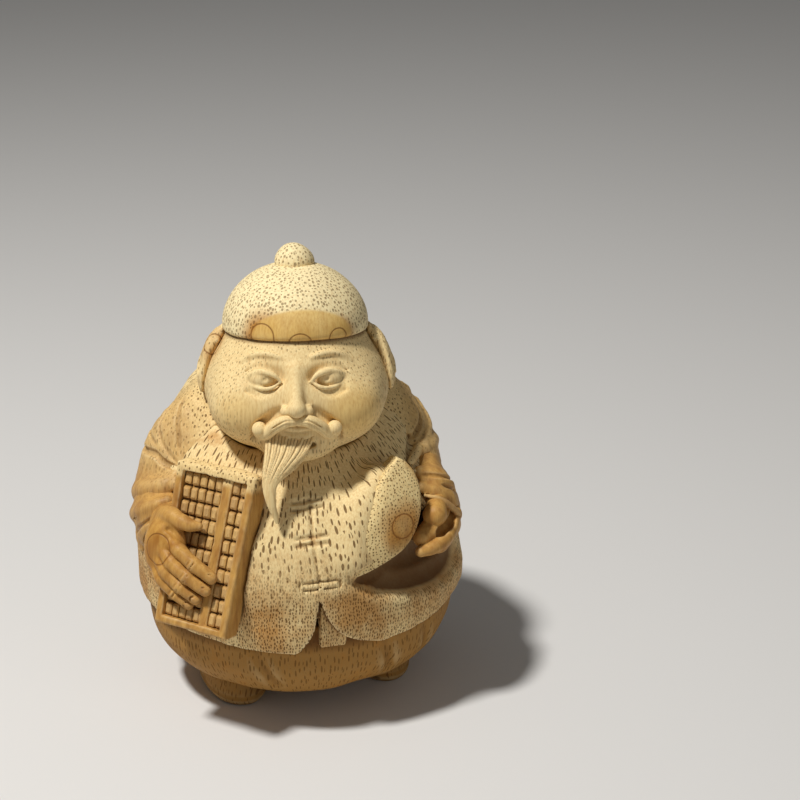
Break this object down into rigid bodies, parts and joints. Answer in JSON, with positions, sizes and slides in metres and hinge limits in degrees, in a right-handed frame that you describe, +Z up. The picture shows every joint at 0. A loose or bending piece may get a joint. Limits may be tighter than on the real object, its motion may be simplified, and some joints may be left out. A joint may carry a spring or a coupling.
{
  "type": "bamboo root carving",
  "caption": "Stout carved merchant in a knobbed round cap and slit jacket, with a counting frame in one hand and a boat-shaped ingot in the other, standing on short shoes.",
  "frame": {"origin": "on the table, under the centre of the figure's box", "axes": "+Z up, -Y to the figure's front, +X to the figure's left"},
  "size_m": [0.0882, 0.0836, 0.1214],
  "materials": {
    "cut_flesh": "carved and hand polished, satin, with dark bundle marks",
    "outer_rind": "outer skin of the root, smooth and waxed, satin",
    "shaded_flesh": "carved, less polished"
  },
  "bodies": {
    "root": {"robe": "shaded_flesh", "right_shoe": "shaded_flesh", "left_shoe": "shaded_flesh", "jacket": "cut_flesh", "front_underlap": "cut_flesh", "right_sleeve": "outer_rind", "left_sleeve": "outer_rind", "right_cuff": "outer_rind", "left_cuff": "outer_rind", "right_hand": "outer_rind", "left_hand": "outer_rind", "abacus_frame": "outer_rind", "outer_bead_board": "outer_rind", "inner_bead_board": "outer_rind", "ingot": "cut_flesh", "head": "cut_flesh", "right_ear": "cut_flesh", "left_ear": "cut_flesh", "moustache_right": "cut_flesh", "moustache_left": "cut_flesh", "beard": "cut_flesh", "cap": "cut_flesh", "cap_knob": "cut_flesh"}
  },
  "joints": []
}
